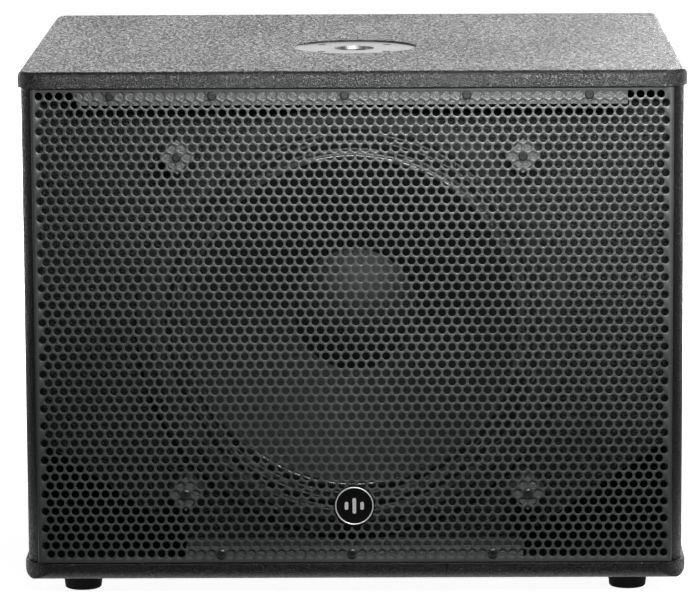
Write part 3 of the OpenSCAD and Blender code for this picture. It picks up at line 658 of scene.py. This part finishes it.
    sel = ~hole & (np.abs(rad - bend) < 1e-6) & ((d * nrm).sum(1) > 0.3 * rad)
    nrm[sel] = d[sel] / rad[sel][:, None]
    me.normals_split_custom_set([tuple(x) for x in nrm])
    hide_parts("grille")
    return o


grille = build_grille()
me = grille.data
rim_soft = True

# ---------------------------------------------------------------- driver
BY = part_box("front_baffle")[0].y
ZC = (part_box("driver_frame")[0].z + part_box("driver_frame")[1].z) / 2


def build_surround():
    """Corrugated cloth roll, from its outer lip at the frame to its inner edge at the cone."""
    def zz(r):
        if r > 173.0:
            return -5.75
        if r < 152.6:
            return -5.9
        u = (173.0 - r) / (173.0 - 152.6)
        return -5.75 + 3.3 * math.sin(u * 3 * 2 * math.pi * 0.5) * (0.85 + 0.15 * math.sin(u * math.pi)) - 0.15 * u
    rs = list(np.linspace(179.4, 173.0, 5)) + list(np.linspace(172.6, 152.6, 61)) + list(np.linspace(152.0, 147.6, 4))
    top = [(r * MM, (zz(r) - 0.45 - (1.05 if r < 151.9 else 0)) * MM) for r in rs]
    bot = [(r * MM, (zz(r) + 0.45 - (1.05 if r < 151.9 else 0)) * MM) for r in rs[::-1]]
    prof = [(r, BY + y) for r, y in top + bot]
    o = lathe("surround_roll", prof, M["surround"], None, (0, 0, ZC), 192, 60)
    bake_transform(o)
    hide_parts("surround")
    return o


surround = build_surround()


def build_spider():
    """Corrugated centring cloth: glued to the frame's ledge outside and to the coil former inside."""
    def zz(r):
        return 80.3 if r < 46 else 82.4 if r > 86 else 80.3 + 2.1 * (r - 46) / 40 + 2 * math.sin(2 * math.pi * (r - 46) / 10)
    rs = [38.5, 42.0] + list(np.linspace(46, 86, 81)) + [92.0, 98.0, 104.0]
    prof = [(r * MM, BY + (zz(r) - 0.45) * MM) for r in rs] + [(r * MM, BY + (zz(r) + 0.45) * MM) for r in rs[::-1]]
    o = lathe("spider_corrugations", prof, M["spider"], None, (0, 0, ZC), 160, 60)
    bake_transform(o)
    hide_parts("spider")
    return o


build_spider()


def bead(name, r, y, size, mat, body, wob=0.12, steps=360):
    """A hand-laid bead of adhesive, a little uneven round its ring."""
    verts, faces = [], []
    k = 10
    ph = RNG.uniform(0, 6.28, 5)
    for i in range(steps):
        a = 2 * math.pi * i / steps
        s = size * (1 + wob * sum(math.sin((3 + 4 * q) * a + ph[q]) for q in range(5)) / 2.5)
        dr = 0.25 * size * math.sin(5 * a + ph[0]) * wob * 4
        for q in range(k):
            b = 2 * math.pi * q / k
            verts.append(((r + dr + s * math.cos(b)) * math.cos(a), y + s * 0.55 * math.sin(b), ZC + (r + dr + s * math.cos(b)) * math.sin(a)))
    for i in range(steps):
        j = (i + 1) % steps
        for q in range(k):
            p = (q + 1) % k
            faces.append((i * k + q, i * k + p, j * k + p, j * k + q))
    return add_mesh(name, verts, faces, mat, body, 80)


bead("rim_adhesive", 0.1492, BY - 0.0073, 0.0021, M["glue"], "cone_assembly")
bead("cap_adhesive", 0.0552, BY + 0.0598, 0.0015, M["glue"], "cone_assembly")


def torus(name, centre, r, a, b, mat, body, steps=144):
    """Ring of oval section about the Y axis."""
    prof = [(r + a * math.cos(t), b * math.sin(t)) for t in np.linspace(0, 2 * math.pi, 14, endpoint=False)]
    return lathe(name, prof, mat, body, centre, steps, 180)


lo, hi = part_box("badge_ring")
bring = torus("badge_bright_ring", ((lo.x + hi.x) / 2, lo.y + 0.0008, (lo.z + hi.z) / 2), (hi.x - lo.x) / 2 - 0.00058, 0.00062, 0.0009,
              M["badge_bright"], "cabinet")
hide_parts("badge_ring")

# ---------------------------------------------------------------- wadding
def blanket(name, lo, hi, seed, out_axis):
    """A thick slab of loose fibre with a puffed face and rounded, uneven edges."""
    bm = bmesh.new()
    nx = 26
    size = hi - lo
    bmesh.ops.create_cube(bm, size=1.0)
    bmesh.ops.subdivide_edges(bm, edges=bm.edges[:], cuts=14, use_grid_fill=True)
    rng = np.random.default_rng(seed)
    ph = rng.uniform(0, 6.28, 12)
    for v in bm.verts:
        p = v.co * 2
        q = Vector((math.copysign(abs(p.x) ** 1, p.x), p.y, p.z))
        edge = [abs(q[i]) for i in range(3)]
        for i in range(3):
            others = [edge[k] for k in range(3) if k != i]
            pull = max(0.0, max(others) - 0.9) / 0.1
            amount = 0.35 if i == out_axis else 0.02
            q[i] *= 1 - amount * pull ** 2
        c = Vector([(lo[i] + hi[i]) / 2 + q[i] * size[i] / 2 for i in range(3)])
        w = sum(math.sin(c.x * f * 1.1 + c.y * f * 0.8 + c.z * f + ph[k]) for k, f in enumerate((45, 70, 110, 160))) / 4
        c[out_axis] -= math.copysign(0.0016, q[out_axis]) * (1 + w) * (1 if abs(q[out_axis]) > 0.5 else 0)
        v.co = c
    me = bpy.data.meshes.new(name)
    bm.to_mesh(me)
    bm.free()
    me.polygons.foreach_set("use_smooth", [True] * len(me.polygons))
    o = bpy.data.objects.new(name, me)
    scene.collection.objects.link(o)
    o.data.materials.append(M["wad"])
    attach(o, "cabinet")
    return o


co = np.array([v.co for v in nodes["wadding"].data.vertices], float)
parts = [("wadding_floor", np.abs(co[:, 0]) < 0.12, 2), ("wadding_left", co[:, 0] < -0.2, 0), ("wadding_right", co[:, 0] > 0.2, 0)]
for k, (nm, sel, ax) in enumerate(parts):
    lo, hi = Vector(co[sel].min(0)), Vector(co[sel].max(0))
    o = blanket(nm, lo, hi, 11 + k, ax)
    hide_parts("wadding")

# ---------------------------------------------------------------- panel print: dial ticks with no lettering
def ring_ticks(name, centre, y):
    verts, faces = [], []
    for k in range(11):
        a = math.radians(90 - (-150 + 30 * k))
        long = k % 5 == 0
        r0, r1, w = 0.0105, 0.0132 if long else 0.0122, 0.00042 if long else 0.0003
        c, s = math.cos(a), math.sin(a)
        b = len(verts)
        for r, q in ((r0, -w), (r1, -w), (r1, w), (r0, w)):
            for yy in (y, y + 0.00008):
                verts.append((centre[0] - (r * c - q * s), yy, centre[1] + r * s + q * c))
        for f in ((0, 2, 4, 6), (1, 7, 5, 3), (0, 1, 3, 2), (2, 3, 5, 4), (4, 5, 7, 6), (6, 7, 1, 0)):
            faces.append(tuple(b + x for x in f))
    return add_mesh(name, verts, faces, M["ink"], "cabinet", 0)


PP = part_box("amp_plate")[1].y
for nm, node in (("level_scale", "level_knob"), ("crossover_scale", "crossover_knob")):
    lo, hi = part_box(node)
    ring_ticks(nm, ((lo.x + hi.x) / 2, (lo.z + hi.z) / 2), PP)
    cx, cz = (lo.x + hi.x) / 2, (lo.z + hi.z) / 2
    # a white pointer set in the knob's slot
    v = [(cx - 0.0004, hi.y - 0.0003, cz + 0.0025), (cx + 0.0004, hi.y - 0.0003, cz + 0.0025),
         (cx + 0.0004, hi.y - 0.0003, cz + 0.0072), (cx - 0.0004, hi.y - 0.0003, cz + 0.0072)]
    v += [(x, hi.y - 0.0007, z) for x, _, z in v]
    f = [(0, 1, 2, 3), (7, 6, 5, 4), (0, 4, 5, 1), (1, 5, 6, 2), (2, 6, 7, 3), (3, 7, 4, 0)]
    add_mesh(node + "_pointer", v, f, M["ink"], node, 0)

# ---------------------------------------------------------------- smooth shading on the carried-over nodes
for nm, o in nodes.items():
    if o.hide_render:
        continue
    o.data.polygons.foreach_set("use_smooth", [True] * len(o.data.polygons))
    if not o.data.has_custom_normals:
        o.data.set_sharp_from_angle(angle=math.radians(32))

# ---------------------------------------------------------------- floor, light, camera
def sheet_plane(name, x0, x1, y0, y1, z):
    me = bpy.data.meshes.new(name)
    me.from_pydata([(x0, y0, z), (x1, y0, z), (x1, y1, z), (x0, y1, z)], [], [(0, 1, 2, 3)])
    o = bpy.data.objects.new(name, me)
    scene.collection.objects.link(o)
    return o


floor = sheet_plane("floor", -30, 30, -30, 30, 0)
n = Nodes("floor_pale")
g = n.noise(3.0, 2.0, 0.5)
floor.data.materials.append(n.set(base=n.ramp(g, [(0.3, (0.80, 0.80, 0.80)), (0.7, (0.82, 0.82, 0.82))]), rough=0.9, spec=0.1,
                                  emit=0.93, emit_color=(1.0, 1.0, 1.0)))
card = sheet_plane("dark_cloth_in_front", -8, 8, -9, -0.262, 0.0004)
sides = [sheet_plane("dark_cloth_" + w, x0, x1, -0.262, 0.9, 0.0004) for w, x0, x1 in (("left", -8, -0.47), ("right", 0.44, 8))]
n = Nodes("dark_cloth")
g = n.noise(300.0, 3.0, 0.6)
card.data.materials.append(n.set(base=n.ramp(g, [(0.3, (0.03, 0.03, 0.03)), (0.7, (0.05, 0.05, 0.05))]), rough=0.9, normal=n.bump(g, 0.001)))
for s in sides:
    s.data.materials.append(card.data.materials[0])
for s in [card] + sides:
    s.visible_camera = False
    s.visible_shadow = False

world = bpy.data.worlds.new("studio")
scene.world = world
world.use_nodes = True
wt = world.node_tree
wc = wt.nodes.new("ShaderNodeTexCoord")
sep = wt.nodes.new("ShaderNodeSeparateXYZ")
wt.links.new(wc.outputs["Generated"], sep.inputs[0])
back = wt.nodes.new("ShaderNodeMapRange")
back.interpolation_type = "SMOOTHSTEP"
for k, v in zip(("From Min", "From Max", "To Min", "To Max"), (0.0, 0.75, 0.0, 1.0)):
    back.inputs[k].default_value = v
wt.links.new(sep.outputs[1], back.inputs["Value"])
rise = wt.nodes.new("ShaderNodeValToRGB")
wt.links.new(sep.outputs[2], rise.inputs["Fac"])
e = rise.color_ramp.elements
e[0].position, e[0].color = 0.0, (1, 1, 1, 1)
e[1].position, e[1].color = 0.14, (1, 1, 1, 1)
for p, v in ((0.42, 0.30), (0.62, 0.06), (1.0, 0.03)):
    e.new(p).color = (v, v, v, 1)
mul = wt.nodes.new("ShaderNodeMath")
mul.operation = "MULTIPLY"
wt.links.new(back.outputs["Result"], mul.inputs[0])
wt.links.new(rise.outputs["Color"], mul.inputs[1])
amb = wt.nodes.new("ShaderNodeMath")
amb.operation = "MULTIPLY_ADD"
wt.links.new(mul.outputs[0], amb.inputs[0])
amb.inputs[1].default_value = 1.42
amb.inputs[2].default_value = 0.02
wt.links.new(amb.outputs[0], wt.nodes["Background"].inputs["Strength"])
wt.nodes["Background"].inputs["Color"].default_value = (1, 1, 1, 1)


def area(name, loc, target, size, power, color=(1, 1, 1)):
    l = bpy.data.lights.new(name, "AREA")
    l.shape = "RECTANGLE"
    l.size, l.size_y = size
    l.energy = power
    l.color = color
    o = bpy.data.objects.new(name, l)
    o.location = loc
    o.rotation_euler = (Vector(target) - Vector(loc)).to_track_quat("-Z", "Y").to_euler()
    scene.collection.objects.link(o)
    return o


area("front_softbox", (0.17, -0.78, 0.70), (0.12, -0.25, 0.45), (0.62, 0.15), 5.4).data.spread = math.radians(110)
area("back_right", (0.95, 1.3, 0.9), (0.2, 0.0, 0.47), (0.7, 0.5), 22)
area("floor_wash", (0.0, 2.8, 2.7), (0.0, 2.6, 0.0), (3.6, 1.4), 110).data.spread = math.radians(70)

cam = bpy.data.cameras.new("camera")
cam.sensor_fit = "HORIZONTAL"
cam.sensor_width = 36.0
F_PX = 4609.0
cam.lens = F_PX * 36.0 / 698.0
cam.clip_end = 100
camo = bpy.data.objects.new("camera", cam)
scene.collection.objects.link(camo)
yaw, pitch, roll = math.radians(-0.688), math.radians(9.392), math.radians(-0.339)
fw = Vector((math.sin(yaw) * math.cos(pitch), math.cos(yaw) * math.cos(pitch), -math.sin(pitch)))
rt = Vector((math.cos(yaw), -math.sin(yaw), 0))
up = rt.cross(fw)
r2 = math.cos(roll) * rt + math.sin(roll) * up
u2 = -math.sin(roll) * rt + math.cos(roll) * up
mat = Matrix((r2, u2, -fw)).transposed().to_4x4()
mat.translation = Vector((0.0448, -4.285, 0.9355))
camo.matrix_world = mat
scene.camera = camo

scene.view_settings.view_transform = "Standard"
scene.view_settings.look = "None"
scene.view_settings.exposure = 0.0

bpy.context.view_layer.update()
